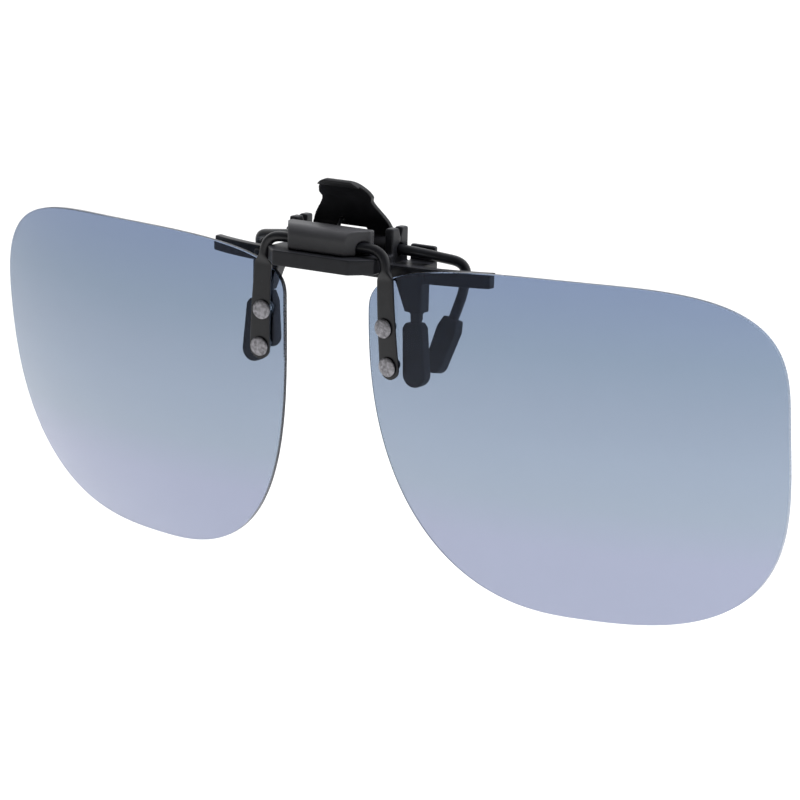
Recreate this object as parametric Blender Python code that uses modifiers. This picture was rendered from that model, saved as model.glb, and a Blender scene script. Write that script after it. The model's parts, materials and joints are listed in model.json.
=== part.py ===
"""Flip-up clip-on sunglasses.

Two rimless lenses hang on a round wire that turns in a small housing, so they flip up.
Behind them a metal frame grips the spectacles between two fixed front claws and two
sprung rear claws, which a thumb lever opens.

Axes: +X to the right, -Y to the front, +Z up, in metres.
Origin: on the symmetry plane, in the gap between the front and the rear claws, where the
spectacles are gripped.
"""
import math

import bmesh
import bpy
from mathutils import Matrix, Vector

MM = 0.001
GAP = 0.12 * MM

# Lenses: a sphere cut to an outline of four superellipse quadrants between its four
# extreme points, each (x, z) on the right lens.
LENS_NASAL = (7.04 * MM, 5.51 * MM)
LENS_TEMPLE = (65.79 * MM, -4.72 * MM)
LENS_TOP = (38.39 * MM, 13.42 * MM)
LENS_BOTTOM = (35.45 * MM, -35.77 * MM)
LENS_EXPONENTS = {"upper_outer": 3.41, "upper_nasal": 2.89, "lower_nasal": 2.50, "lower_outer": 3.00}
LENS_SPHERE_RADIUS = 105.0 * MM
LENS_SPHERE_CENTRE = (18.7 * MM, 99.34 * MM, 8.86 * MM)
LENS_THICKNESS = 0.80 * MM
LENS_CELL = 4.6 * MM

# Rivets, each centre (x, z) on the right lens.
RIVET_CENTRES = {"upper": (10.22 * MM, 3.86 * MM), "lower": (10.79 * MM, -1.50 * MM)}
RIVET_HEAD_RADIUS = 1.38 * MM
RIVET_HEAD_HEIGHT = 0.36 * MM
RIVET_SHANK_RADIUS = 0.60 * MM
RIVET_TAIL_RADIUS = 0.85 * MM
RIVET_TAIL_HEIGHT = 0.35 * MM
WASHER_RADIUS = 1.00 * MM
WASHER_THICKNESS = 0.35 * MM

# Lens wire and its flattened ends.
WIRE_RADIUS = 0.725 * MM
FLIP_AXIS_Y = -5.4 * MM
FLIP_AXIS_Z = 14.5 * MM
LENS_WIRE_BEND_X = 10.1 * MM
LENS_WIRE_BEND_SETBACK = 2.9 * MM
TAB_TOP_Z = 11.6 * MM
TAB_BOTTOM_Z = -3.4 * MM
TAB_TOP_X = 10.1 * MM
TAB_BOTTOM_X = 10.95 * MM
TAB_TOP_HALF_WIDTH = 1.35 * MM
TAB_TIP_HALF_WIDTH = 1.60 * MM
TAB_THICKNESS = 0.44 * MM
TAB_CELL = 1.7 * MM
TAB_OVERLAP = 0.45 * MM
TAB_SHOULDER_HEIGHT = 0.95 * MM

# Plate that carries the housing.
PLATE_FRONT_Y = -9.15 * MM
PLATE_FRONT_HALF_WIDTH = 6.25 * MM
PLATE_SIDE_Y = -6.5 * MM
PLATE_HALF_WIDTH = 8.8 * MM
PLATE_REAR_Y = -1.3 * MM
PLATE_BOTTOM_Z = 11.1 * MM
PLATE_TOP_Z = 13.25 * MM
PLATE_EDGE = 0.15 * MM

# Housing over the lens wire.
HOUSING_FRONT_Y = -7.7 * MM
HOUSING_REAR_Y = -3.5 * MM
HOUSING_TOP_Z = 16.8 * MM
HOUSING_FRONT_HALF_WIDTH = 4.7 * MM
HOUSING_HALF_WIDTH = 6.9 * MM
HOUSING_SIDE_Y = -4.5 * MM
HOUSING_NOSE_RADIUS = 1.5 * MM
HOUSING_EDGE = 0.18 * MM
LEAF_POCKET_HALF_LENGTH = 4.0 * MM
LEAF_POCKET_TOP_Z = 16.1 * MM
LEAF_HALF_LENGTH = 3.6 * MM
LEAF_HALF_WIDTH = 0.60 * MM
LEAF_THICKNESS = 0.22 * MM
LEAF_RISE = 0.26 * MM
SCREW_X = 3.2 * MM
SCREW_Y = -6.98 * MM
SCREW_RADIUS = 0.34 * MM
SCREW_TOP_Z = 15.2 * MM
SCREW_HEAD_RADIUS = 0.75 * MM
SCREW_HEAD_HEIGHT = 0.42 * MM

# Wing bar behind the lenses.
BAR_HALF_SPAN = 23.1 * MM
BAR_FRONT_Y = -2.5 * MM
BAR_THICKNESS = 1.4 * MM
BAR_BOTTOM_Z = 9.95 * MM
BAR_TOP_Z = 12.05 * MM
BAR_STRAIGHT_HALF = 8.0 * MM
BAR_RADIUS = 38.0 * MM
BAR_EDGE = 0.15 * MM

# Slotted ears and the lugs beside them.
CLAMP_AXIS_Y = 0.4 * MM
CLAMP_AXIS_Z = 13.8 * MM
EAR_INNER_X = 7.35 * MM
EAR_OUTER_X = 8.65 * MM
EAR_FRONT_Y = -1.7 * MM
EAR_REAR_Y = 2.4 * MM
EAR_TOP_Z = 16.8 * MM
EAR_EDGE = 0.20 * MM
EAR_SLOT_HALF_WIDTH = 0.14 * MM
EAR_FLARE_HALF_WIDTH = 0.75 * MM
SHELF_BOTTOM_Z = 10.2 * MM
SHELF_EDGE = 0.15 * MM
LUG_INNER_X = 8.4 * MM
LUG_OUTER_X = 12.6 * MM
LUG_FRONT_Y = 3.1 * MM
LUG_REAR_Y = 4.0 * MM
LUG_TOP_Z = 14.2 * MM
LUG_EDGE = 0.25 * MM

# Fixed front claws and their sleeves.
LEG_OUTER_X = 14.13 * MM
LEG_TOP_INNER_X = 9.8 * MM
LEG_BOTTOM_INNER_X = 11.45 * MM
LEG_BOTTOM_Z = 5.8 * MM
LEG_FRONT_Y = -2.4 * MM
LEG_REAR_Y = -0.1 * MM
LEG_EDGE = 0.20 * MM
CLAW_SPLAY = math.radians(3.8)
CLAW_X = 13.0 * MM
CLAW_NECK_X = 13.1 * MM
NECK_HALF_WIDTH = 0.75 * MM
NECK_FRONT_Y = -2.3 * MM
NECK_REAR_Y = -1.2 * MM
NECK_BOTTOM_Z = 4.75 * MM
BLADE_HALF_WIDTH = 0.70 * MM
BLADE_FRONT_Y = -2.3 * MM
BLADE_REAR_Y = -1.5 * MM
BLADE_BOTTOM_Z = -2.4 * MM
SLEEVE_TOP_Z = 4.5 * MM
SLEEVE_BOTTOM_Z = -4.5 * MM
SLEEVE_TOP_HALF_WIDTH = 1.60 * MM
SLEEVE_LOW_HALF_WIDTH = 1.80 * MM
SLEEVE_FRONT_Y = -2.9 * MM
SLEEVE_REAR_Y = -1.2 * MM
SLEEVE_EDGE = 0.35 * MM

# Rear claw wire: its bends on the right side and its tip.
CLAW_WIRE_BENDS = (
    (9.4 * MM, 0.4 * MM, 13.8 * MM),
    (17.6 * MM, 3.4 * MM, 12.5 * MM),
    (16.9 * MM, 4.4 * MM, 8.6 * MM),
)
CLAW_WIRE_TIP = (14.1 * MM, 2.15 * MM, -1.9 * MM)
CLAW_WIRE_SETBACK = 1.9 * MM
REAR_SLEEVE_LENGTH = 8.1 * MM
REAR_SLEEVE_OVERHANG = 1.3 * MM
REAR_SLEEVE_TOP_HALF_WIDTH = 1.10 * MM
REAR_SLEEVE_SHOULDER_HALF_WIDTH = 1.58 * MM
REAR_SLEEVE_SHOULDER_DROP = 1.6 * MM
REAR_SLEEVE_TIP_HALF_WIDTH = 1.40 * MM
REAR_SLEEVE_THICKNESS = 2.00 * MM

# Thumb lever: section points (y, z) up its middle, half-widths (x, z) up its edge.
LEVER_SECTION = (
    (1.55 * MM, 13.9 * MM),
    (1.55 * MM, 16.4 * MM),
    (0.05 * MM, 20.0 * MM),
    (-1.35 * MM, 21.95 * MM),
    (-2.25 * MM, 22.50 * MM),
    (-2.85 * MM, 22.25 * MM),
)
LEVER_EDGE = (
    (6.6 * MM, 12.0 * MM),
    (6.6 * MM, 15.9 * MM),
    (5.9 * MM, 17.4 * MM),
    (4.15 * MM, 19.7 * MM),
    (4.35 * MM, 20.6 * MM),
    (3.95 * MM, 21.5 * MM),
    (3.0 * MM, 22.4 * MM),
    (1.8 * MM, 23.0 * MM),
    (0.5 * MM, 23.3 * MM),
)
LEVER_THICKNESS = 0.85 * MM
LEVER_BARREL_RADIUS = 1.4 * MM
LEVER_BARREL_INNER_X = 2.7 * MM
LEVER_BARREL_OUTER_X = 6.95 * MM
LEVER_NOTCH_HALF_WIDTH = 2.5 * MM
LEVER_NOTCH_TOP_Z = 16.0 * MM
LEVER_HOLE_X = -1.5 * MM
LEVER_HOLE_Z = 16.9 * MM
LEVER_HOLE_RADIUS = 0.28 * MM

# Torsion spring round the rear claw wire.
SPRING_COIL_RADIUS = 1.17 * MM
SPRING_WIRE_RADIUS = 0.21 * MM
SPRING_TURNS = 5
SPRING_HALF_LENGTH = 1.5 * MM
SPRING_STEPS_PER_TURN = 14
SPRING_FRONT_LEG_Y = -2.9 * MM

MATERIALS = {
    "black_metal": ((0.020, 0.020, 0.023), 0.38, 0.6, 1.0),
    "black_housing": ((0.030, 0.030, 0.034), 0.45, 0.2, 1.0),
    "spring_steel": ((0.55, 0.56, 0.58), 0.30, 1.0, 1.0),
    "bright_rivet": ((0.80, 0.80, 0.80), 0.22, 1.0, 1.0),
    "clear_washer": ((0.85, 0.88, 0.90), 0.20, 0.0, 0.5),
    "tinted_lens": ((0.36, 0.43, 0.55), 0.05, 0.0, 0.6),
    "black_rubber": ((0.030, 0.034, 0.042), 0.70, 0.0, 1.0),
}


def clear_scene():
    for item in list(bpy.data.objects):
        bpy.data.objects.remove(item, do_unlink=True)


def make_materials():
    made = {}
    for name, (colour, roughness, metallic, alpha) in MATERIALS.items():
        material = bpy.data.materials.new(name)
        material.use_nodes = True
        shader = material.node_tree.nodes["Principled BSDF"]
        shader.inputs["Base Color"].default_value = (*colour, 1.0)
        shader.inputs["Roughness"].default_value = roughness
        shader.inputs["Metallic"].default_value = metallic
        shader.inputs["Alpha"].default_value = alpha
        made[name] = material
    return made


def link_mesh(name, mesh):
    item = bpy.data.objects.new(name, mesh)
    bpy.context.scene.collection.objects.link(item)
    return item


def bake(item):
    """Replace an object by the mesh it evaluates to, welded and facing out, in world space."""
    depsgraph = bpy.context.evaluated_depsgraph_get()
    depsgraph.update()
    mesh = bpy.data.meshes.new_from_object(item.evaluated_get(depsgraph))
    shape = bmesh.new()
    shape.from_mesh(mesh)
    bmesh.ops.transform(shape, matrix=item.matrix_world, verts=shape.verts)
    bmesh.ops.remove_doubles(shape, verts=shape.verts, dist=0.002 * MM)
    bmesh.ops.recalc_face_normals(shape, faces=shape.faces)
    shape.to_mesh(mesh)
    shape.free()
    name = item.name
    bpy.data.objects.remove(item, do_unlink=True)
    return link_mesh(name, mesh)


def combine(base, others, operation):
    """Union with, or cut, an object by others one after another, which uses them up."""
    for other in others:
        step = base.modifiers.new(operation.lower(), "BOOLEAN")
        step.operation = operation
        step.solver = "EXACT"
        step.object = other
        base = bake(base)
        bpy.data.objects.remove(other, do_unlink=True)
    return base


def outline_solid(name, points, low, high, plane):
    """A closed flat outline in the named plane, extruded between low and high along the third axis."""
    curve = bpy.data.curves.new(name, "CURVE")
    curve.dimensions = "2D"
    curve.fill_mode = "BOTH"
    curve.extrude = (high - low) / 2
    spline = curve.splines.new("POLY")
    spline.points.add(len(points) - 1)
    for target, (first, second) in zip(spline.points, points):
        target.co = (first, second, 0.0, 1.0)
    spline.use_cyclic_u = True
    item = bpy.data.objects.new(name, curve)
    bpy.context.scene.collection.objects.link(item)
    middle = (low + high) / 2
    turns = {
        "XY": Matrix.Translation((0, 0, middle)),
        "XZ": Matrix.Translation((0, middle, 0)) @ Matrix.Rotation(math.pi / 2, 4, "X"),
        "YZ": Matrix.Translation((middle, 0, 0)) @ Matrix(((0, 0, 1, 0), (1, 0, 0, 0), (0, 1, 0, 0), (0, 0, 0, 1))),
    }
    item.matrix_world = turns[plane]
    return bake(item)


def box(name, low, high, edge=0.0):
    """A box between two corners, its edges rounded by edge."""
    bpy.ops.mesh.primitive_cube_add(size=1.0)
    item = bpy.context.active_object
    item.name = name
    low = Vector(low)
    high = Vector(high)
    item.location = (low + high) / 2
    item.scale = high - low
    bpy.ops.object.transform_apply(location=False, rotation=False, scale=True)
    if edge:
        round_edges(item, edge)
    return bake(item)


def round_edges(item, width, segments=2):
    bevel = item.modifiers.new("rounded_edges", "BEVEL")
    bevel.width = width
    bevel.segments = segments
    bevel.limit_method = "ANGLE"
    bevel.angle_limit = math.radians(35)


def cylinder(name, centre, direction, radius, depth, sides=24):
    bpy.ops.mesh.primitive_cylinder_add(vertices=sides, radius=radius, depth=depth)
    item = bpy.context.active_object
    item.name = name
    item.matrix_world = place(centre, direction)
    return bake(item)


def place(centre, direction):
    """The matrix that puts local Z along direction at centre."""
    turn = Vector(direction).to_track_quat("Z", "Y").to_matrix().to_4x4()
    return Matrix.Translation(centre) @ turn


def turned(name, profile, centre, direction, steps=24):
    """A turned solid: profile points (radius, height) run down its outer side."""
    mesh = bpy.data.meshes.new(name)
    edges = [(index, index + 1) for index in range(len(profile) - 1)]
    mesh.from_pydata([(radius, 0.0, height) for radius, height in profile], edges, [])
    item = link_mesh(name, mesh)
    screw = item.modifiers.new("turn", "SCREW")
    screw.steps = steps
    screw.render_steps = steps
    screw.use_merge_vertices = True
    screw.merge_threshold = 0.00001
    item.matrix_world = place(centre, direction)
    return bake(item)


def wire_solid(name, points, radius, resolution=4):
    curve = bpy.data.curves.new(name, "CURVE")
    curve.dimensions = "3D"
    curve.bevel_depth = radius
    curve.bevel_resolution = resolution
    curve.use_fill_caps = True
    spline = curve.splines.new("POLY")
    spline.points.add(len(points) - 1)
    for target, point in zip(spline.points, points):
        target.co = (*point, 1.0)
    item = bpy.data.objects.new(name, curve)
    bpy.context.scene.collection.objects.link(item)
    return bake(item)


def filleted(points, setback, steps=6):
    """A polyline whose inner corners are replaced by smooth bends that start setback away."""
    corners = [Vector(point) for point in points]
    path = [corners[0]]
    for before, corner, after in zip(corners, corners[1:], corners[2:]):
        start = corner + (before - corner).normalized() * setback
        end = corner + (after - corner).normalized() * setback
        for step in range(steps + 1):
            part = step / steps
            path.append(start * (1 - part) ** 2 + corner * 2 * part * (1 - part) + end * part ** 2)
    path.append(corners[-1])
    return path


def arc(centre, radius, start, end, steps):
    """Points on an arc between two angles in degrees."""
    points = []
    for step in range(steps + 1):
        angle = math.radians(start + (end - start) * step / steps)
        points.append((centre[0] + radius * math.cos(angle), centre[1] + radius * math.sin(angle)))
    return points


def mirrored_outline(points):
    """A half outline at +X, from bottom to top, closed by its mirror image."""
    return list(points) + [(-x, z) for x, z in reversed(points)]


def flipped(item, name):
    """The mirror image of an object across the symmetry plane."""
    copy = link_mesh(name, item.data.copy())
    copy.matrix_world = Matrix.Scale(-1.0, 4, (1, 0, 0))
    return bake(copy)


def smooth_curve(points, steps=5):
    """A smooth polyline through the given 2D points."""
    ends = [points[0]] + list(points) + [points[-1]]
    path = []
    for index in range(1, len(ends) - 2):
        before, start, end, after = (Vector(point) for point in ends[index - 1:index + 3])
        for step in range(steps):
            part = step / steps
            bend = (2 * before - 5 * start + 4 * end - after) * part ** 2
            twist = (3 * start - before - 3 * end + after) * part ** 3
            path.append(start + ((end - before) * part + bend + twist) / 2)
    path.append(Vector(points[-1]))
    return path


def lens_outline(steps=14):
    """The right lens's outline, counter-clockwise from its temple end."""
    quadrants = (
        (LENS_TOP, LENS_TEMPLE, LENS_EXPONENTS["upper_outer"], 0),
        (LENS_TOP, LENS_NASAL, LENS_EXPONENTS["upper_nasal"], 90),
        (LENS_BOTTOM, LENS_NASAL, LENS_EXPONENTS["lower_nasal"], 180),
        (LENS_BOTTOM, LENS_TEMPLE, LENS_EXPONENTS["lower_outer"], 270),
    )
    points = []
    for vertical, side, exponent, first in quadrants:
        centre = (vertical[0], side[1])
        across = abs(side[0] - centre[0])
        up = abs(vertical[1] - centre[1])
        for step in range(steps):
            angle = math.radians(first + 90 * step / steps)
            cosine = math.cos(angle)
            sine = math.sin(angle)
            x = centre[0] + across * math.copysign(abs(cosine) ** (2 / exponent), cosine)
            z = centre[1] + up * math.copysign(abs(sine) ** (2 / exponent), sine)
            points.append((x, z))
    return points


def lens_front_y(x, z, outward=0.0):
    """The y of the lens's front surface, or of a surface outward in front of it."""
    centre = LENS_SPHERE_CENTRE
    radius = LENS_SPHERE_RADIUS + outward
    return centre[1] - math.sqrt(radius ** 2 - (x - centre[0]) ** 2 - (z - centre[2]) ** 2)


def lens_normal(x, z):
    """The direction out of the lens's front at x, z."""
    surface = Vector((x, lens_front_y(x, z), z))
    return (surface - Vector(LENS_SPHERE_CENTRE)).normalized()


def spherical_plate(name, outline, outward, thickness, cell):
    """A plate that follows the lens's sphere, its front outward of the lens, cut to an outline."""
    lows = [min(point[axis] for point in outline) - cell / 2 for axis in (0, 1)]
    highs = [max(point[axis] for point in outline) + cell / 2 for axis in (0, 1)]
    counts = [math.ceil((high - low) / cell) for low, high in zip(lows, highs)]
    shape = bmesh.new()
    bmesh.ops.create_grid(shape, x_segments=counts[0], y_segments=counts[1], size=0.5)
    for vertex in shape.verts:
        x = lows[0] + (vertex.co.x + 0.5) * (highs[0] - lows[0])
        z = lows[1] + (vertex.co.y + 0.5) * (highs[1] - lows[1])
        vertex.co = (x, lens_front_y(x, z, outward), z)
    mesh = bpy.data.meshes.new(name)
    shape.to_mesh(mesh)
    shape.free()
    blank = link_mesh(name, mesh)
    shell = blank.modifiers.new("thickness", "SOLIDIFY")
    shell.thickness = thickness
    shell.offset = -1.0
    shell.use_even_offset = True
    blank = bake(blank)
    reach = 30 * MM
    edger = outline_solid("edger", outline, -reach, reach, "XZ")
    return combine(blank, [edger], "INTERSECT")


def rivet_frame(level):
    """A rivet's centre on the lens's front surface, and its outward direction."""
    x, z = RIVET_CENTRES[level]
    return Vector((x, lens_front_y(x, z), z)), lens_normal(x, z)


def rivet_hole(level, radius):
    centre, normal = rivet_frame(level)
    return cylinder("rivet_hole", centre, normal, radius, 6 * MM)


def make_lens():
    lens = spherical_plate("lens_right", lens_outline(), 0.0, LENS_THICKNESS, LENS_CELL)
    holes = [rivet_hole(level, RIVET_SHANK_RADIUS + GAP) for level in RIVET_CENTRES]
    return combine(lens, holes, "DIFFERENCE")


def tab_outline():
    """The flattened wire end, from its shoulder down to its round tip."""
    lean = math.degrees(math.atan2(TAB_BOTTOM_X - TAB_TOP_X, TAB_TOP_Z - TAB_BOTTOM_Z))
    tip_centre = (TAB_BOTTOM_X, TAB_BOTTOM_Z + TAB_TIP_HALF_WIDTH)
    shoulder_z = TAB_TOP_Z - TAB_SHOULDER_HEIGHT
    points = [(TAB_TOP_X - WIRE_RADIUS, TAB_TOP_Z), (TAB_TOP_X - TAB_TOP_HALF_WIDTH, shoulder_z)]
    points += arc(tip_centre, TAB_TIP_HALF_WIDTH, 180 + lean, 360 + lean, 12)
    points += [(TAB_TOP_X + TAB_TOP_HALF_WIDTH, shoulder_z), (TAB_TOP_X + WIRE_RADIUS, TAB_TOP_Z)]
    return points


def make_lens_wire():
    corner = (LENS_WIRE_BEND_X, FLIP_AXIS_Y, FLIP_AXIS_Z)
    end_z = TAB_TOP_Z - TAB_OVERLAP
    end_y = lens_front_y(LENS_WIRE_BEND_X, end_z, GAP + TAB_THICKNESS / 2)
    right = [corner, (LENS_WIRE_BEND_X, end_y, end_z)]
    left = [(-x, y, z) for x, y, z in reversed(right)]
    wire = wire_solid("lens_wire", filleted(left + right, LENS_WIRE_BEND_SETBACK), WIRE_RADIUS)
    tab = spherical_plate("tab", tab_outline(), GAP + TAB_THICKNESS, TAB_THICKNESS, TAB_CELL)
    tab = combine(tab, [rivet_hole(level, RIVET_SHANK_RADIUS + GAP) for level in RIVET_CENTRES], "DIFFERENCE")
    return combine(wire, [tab, flipped(tab, "tab_left")], "UNION")


def dome(radius, height, base, steps=5):
    """Profile points of a shallow dome on a short straight rim, from its top down."""
    rim = height * 0.25
    points = []
    for step in range(steps + 1):
        angle = math.radians(90 - 90 * step / steps)
        points.append((radius * math.cos(angle), base + rim + (height - rim) * math.sin(angle)))
    points[0] = (0.0, points[0][1])
    points.append((radius, base))
    return points


def make_rivet(level):
    """A rivet: domed head on the tab, shank through the lens, flared tail behind the washer."""
    centre, normal = rivet_frame(level)
    head_base = 2 * GAP + TAB_THICKNESS
    tail_base = -(LENS_THICKNESS + 2 * GAP + WASHER_THICKNESS)
    profile = dome(RIVET_HEAD_RADIUS, RIVET_HEAD_HEIGHT, head_base)
    profile += [(RIVET_SHANK_RADIUS, head_base), (RIVET_SHANK_RADIUS, tail_base)]
    profile += [(RIVET_TAIL_RADIUS, tail_base), (RIVET_TAIL_RADIUS * 0.8, tail_base - RIVET_TAIL_HEIGHT)]
    profile += [(0.0, tail_base - RIVET_TAIL_HEIGHT)]
    return turned(f"rivet_{level}_right", profile, centre, normal)


def make_washer(level):
    centre, normal = rivet_frame(level)
    top = -(LENS_THICKNESS + GAP)
    bottom = top - WASHER_THICKNESS
    bore = RIVET_SHANK_RADIUS + GAP
    profile = [(bore, bottom), (bore, top), (WASHER_RADIUS, top), (WASHER_RADIUS, bottom), (bore, bottom)]
    return turned(f"washer_{level}_right", profile, centre, normal)


def make_plate():
    outline = mirrored_outline([
        (PLATE_FRONT_HALF_WIDTH, PLATE_FRONT_Y),
        (PLATE_HALF_WIDTH, PLATE_SIDE_Y),
        (PLATE_HALF_WIDTH, PLATE_REAR_Y),
    ])
    plate = outline_solid("plate", outline, PLATE_BOTTOM_Z, PLATE_TOP_Z, "XY")
    round_edges(plate, PLATE_EDGE)
    return bake(plate)


def bar_offset(x):
    """How far the wing bar has swept back at x."""
    past = max(abs(x) - BAR_STRAIGHT_HALF, 0.0)
    return BAR_RADIUS - math.sqrt(BAR_RADIUS ** 2 - past ** 2)


def make_bar():
    steps = 8
    length = BAR_HALF_SPAN - BAR_STRAIGHT_HALF
    stations = [BAR_STRAIGHT_HALF + length * step / steps for step in range(steps + 1)]
    front = [(x, BAR_FRONT_Y + bar_offset(x)) for x in stations]
    rear = [(x, BAR_FRONT_Y + BAR_THICKNESS + bar_offset(x)) for x in reversed(stations)]
    outline = [(-x, y) for x, y in reversed(front)] + front + rear + [(-x, y) for x, y in reversed(rear)]
    bar = outline_solid("bar", outline, BAR_BOTTOM_Z, BAR_TOP_Z, "XY")
    round_edges(bar, BAR_EDGE)
    return bake(bar)


def make_ear():
    """The right ear: a slotted plate whose slot ends in the rear claw wire's bearing."""
    ear = box(
        "ear",
        (EAR_INNER_X, EAR_FRONT_Y, SHELF_BOTTOM_Z + 0.5 * MM),
        (EAR_OUTER_X, EAR_REAR_Y, EAR_TOP_Z),
        EAR_EDGE,
    )
    middle_x = (EAR_INNER_X + EAR_OUTER_X) / 2
    axis = (middle_x, CLAMP_AXIS_Y, CLAMP_AXIS_Z)
    bearing = cylinder("bearing", axis, (1, 0, 0), WIRE_RADIUS + GAP, 4 * MM, 32)
    flare_z = EAR_TOP_Z - 1.0 * MM
    slot_outline = [
        (CLAMP_AXIS_Y - EAR_SLOT_HALF_WIDTH, CLAMP_AXIS_Z),
        (CLAMP_AXIS_Y + EAR_SLOT_HALF_WIDTH, CLAMP_AXIS_Z),
        (CLAMP_AXIS_Y + EAR_SLOT_HALF_WIDTH, flare_z),
        (CLAMP_AXIS_Y + EAR_FLARE_HALF_WIDTH, EAR_TOP_Z + 1.0 * MM),
        (CLAMP_AXIS_Y - EAR_FLARE_HALF_WIDTH, EAR_TOP_Z + 1.0 * MM),
        (CLAMP_AXIS_Y - EAR_SLOT_HALF_WIDTH, flare_z),
    ]
    slot = outline_solid("slot", slot_outline, EAR_INNER_X - 1.0 * MM, EAR_OUTER_X + 1.0 * MM, "YZ")
    return combine(ear, [bearing, slot], "DIFFERENCE")


def splayed(item):
    """Turn a right claw part outwards about the foot of its leg, in the plane of its pad."""
    foot = Vector((CLAW_NECK_X, 0.0, LEG_BOTTOM_Z))
    turn = Matrix.Translation(foot) @ Matrix.Rotation(-CLAW_SPLAY, 4, "Y") @ Matrix.Translation(-foot)
    item.matrix_world = turn @ item.matrix_world
    return bake(item)


def make_right_claw_parts():
    """The fixed front claw: leg, neck and the blade inside the sleeve."""
    leg_top_z = BAR_TOP_Z - 0.6 * MM
    leg_outline = [
        (LEG_TOP_INNER_X, leg_top_z),
        (LEG_TOP_INNER_X, BAR_BOTTOM_Z),
        (LEG_BOTTOM_INNER_X, LEG_BOTTOM_Z),
        (LEG_OUTER_X, LEG_BOTTOM_Z),
        (LEG_OUTER_X, leg_top_z),
    ]
    leg = outline_solid("leg", leg_outline, LEG_FRONT_Y, LEG_REAR_Y, "XZ")
    round_edges(leg, LEG_EDGE)
    neck = box(
        "neck",
        (CLAW_NECK_X - NECK_HALF_WIDTH, NECK_FRONT_Y, NECK_BOTTOM_Z),
        (CLAW_NECK_X + NECK_HALF_WIDTH, NECK_REAR_Y, LEG_BOTTOM_Z + 0.6 * MM),
    )
    blade = box(
        "blade",
        (CLAW_NECK_X - BLADE_HALF_WIDTH, BLADE_FRONT_Y, BLADE_BOTTOM_Z),
        (CLAW_NECK_X + BLADE_HALF_WIDTH, BLADE_REAR_Y, LEG_BOTTOM_Z + 0.4 * MM),
    )
    return [bake(leg), splayed(neck), splayed(blade)]


def make_lug():
    shelf = box(
        "lug_shelf",
        (LUG_INNER_X, BAR_FRONT_Y + 0.3 * MM, SHELF_BOTTOM_Z),
        (LUG_OUTER_X, LUG_REAR_Y - 0.1 * MM, BAR_TOP_Z - 0.1 * MM),
        SHELF_EDGE,
    )
    wall = box(
        "lug_wall",
        (LUG_INNER_X + 0.05 * MM, LUG_FRONT_Y, SHELF_BOTTOM_Z + 0.3 * MM),
        (LUG_OUTER_X - 0.05 * MM, LUG_REAR_Y, LUG_TOP_Z),
        LUG_EDGE,
    )
    return [shelf, wall]


def make_screw_cutters():
    cutters = []
    for side in (-1, 1):
        centre = (side * SCREW_X, SCREW_Y, PLATE_BOTTOM_Z)
        recess = 2 * (SCREW_HEAD_HEIGHT + 2 * GAP)
        cutters.append(cylinder("screw_hole", centre, (0, 0, 1), SCREW_RADIUS + GAP, 8 * MM, 16))
        cutters.append(cylinder("screw_recess", centre, (0, 0, 1), SCREW_HEAD_RADIUS + GAP, recess))
    return cutters


def make_bridge_frame():
    frame = make_bar()
    shelf = box(
        "shelf",
        (-EAR_OUTER_X + 0.05 * MM, BAR_FRONT_Y + 0.2 * MM, SHELF_BOTTOM_Z + 0.05 * MM),
        (EAR_OUTER_X - 0.05 * MM, EAR_REAR_Y + 0.05 * MM, BAR_TOP_Z - 0.05 * MM),
        SHELF_EDGE,
    )
    right = [make_ear()] + make_right_claw_parts() + make_lug()
    left = [flipped(item, item.name + "_left") for item in right]
    frame = combine(frame, [make_plate(), shelf] + right + left, "UNION")
    frame = combine(frame, make_screw_cutters(), "DIFFERENCE")
    frame.name = "bridge_frame"
    return frame


def make_housing():
    bottom = PLATE_TOP_Z + GAP
    section = [(HOUSING_REAR_Y, bottom), (HOUSING_REAR_Y, HOUSING_TOP_Z)]
    nose_centre = (HOUSING_FRONT_Y + HOUSING_NOSE_RADIUS, HOUSING_TOP_Z - HOUSING_NOSE_RADIUS)
    section += arc(nose_centre, HOUSING_NOSE_RADIUS, 90, 180, 8)
    section += [(HOUSING_FRONT_Y, bottom)]
    housing = outline_solid("hinge_housing", section, -HOUSING_HALF_WIDTH, HOUSING_HALF_WIDTH, "YZ")
    plan = mirrored_outline([
        (HOUSING_FRONT_HALF_WIDTH, HOUSING_FRONT_Y - 0.01 * MM),
        (HOUSING_HALF_WIDTH - 0.01 * MM, HOUSING_SIDE_Y),
        (HOUSING_HALF_WIDTH - 0.01 * MM, HOUSING_REAR_Y + 0.01 * MM),
    ])
    trim = outline_solid("housing_plan", plan, 0.0, 2 * HOUSING_TOP_Z, "XY")
    housing = combine(housing, [trim], "INTERSECT")
    round_edges(housing, HOUSING_EDGE)
    housing = bake(housing)
    bore = WIRE_RADIUS + GAP
    tunnel_section = arc((FLIP_AXIS_Y, FLIP_AXIS_Z), bore, 0, 180, 16)
    tunnel_section += [(FLIP_AXIS_Y - bore, bottom - 1 * MM), (FLIP_AXIS_Y + bore, bottom - 1 * MM)]
    tunnel = outline_solid("wire_tunnel", tunnel_section, -10 * MM, 10 * MM, "YZ")
    pocket = box(
        "leaf_pocket",
        (-LEAF_POCKET_HALF_LENGTH, FLIP_AXIS_Y - bore + 0.05 * MM, FLIP_AXIS_Z - 0.2 * MM),
        (LEAF_POCKET_HALF_LENGTH, FLIP_AXIS_Y + bore - 0.05 * MM, LEAF_POCKET_TOP_Z),
    )
    holes = []
    for side in (-1, 1):
        centre = (side * SCREW_X, SCREW_Y, SCREW_TOP_Z + GAP - 1.5 * MM)
        holes.append(cylinder("screw_hole", centre, (0, 0, 1), SCREW_RADIUS + GAP, 3 * MM, 16))
    return combine(housing, [tunnel, pocket] + holes, "DIFFERENCE")


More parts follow.
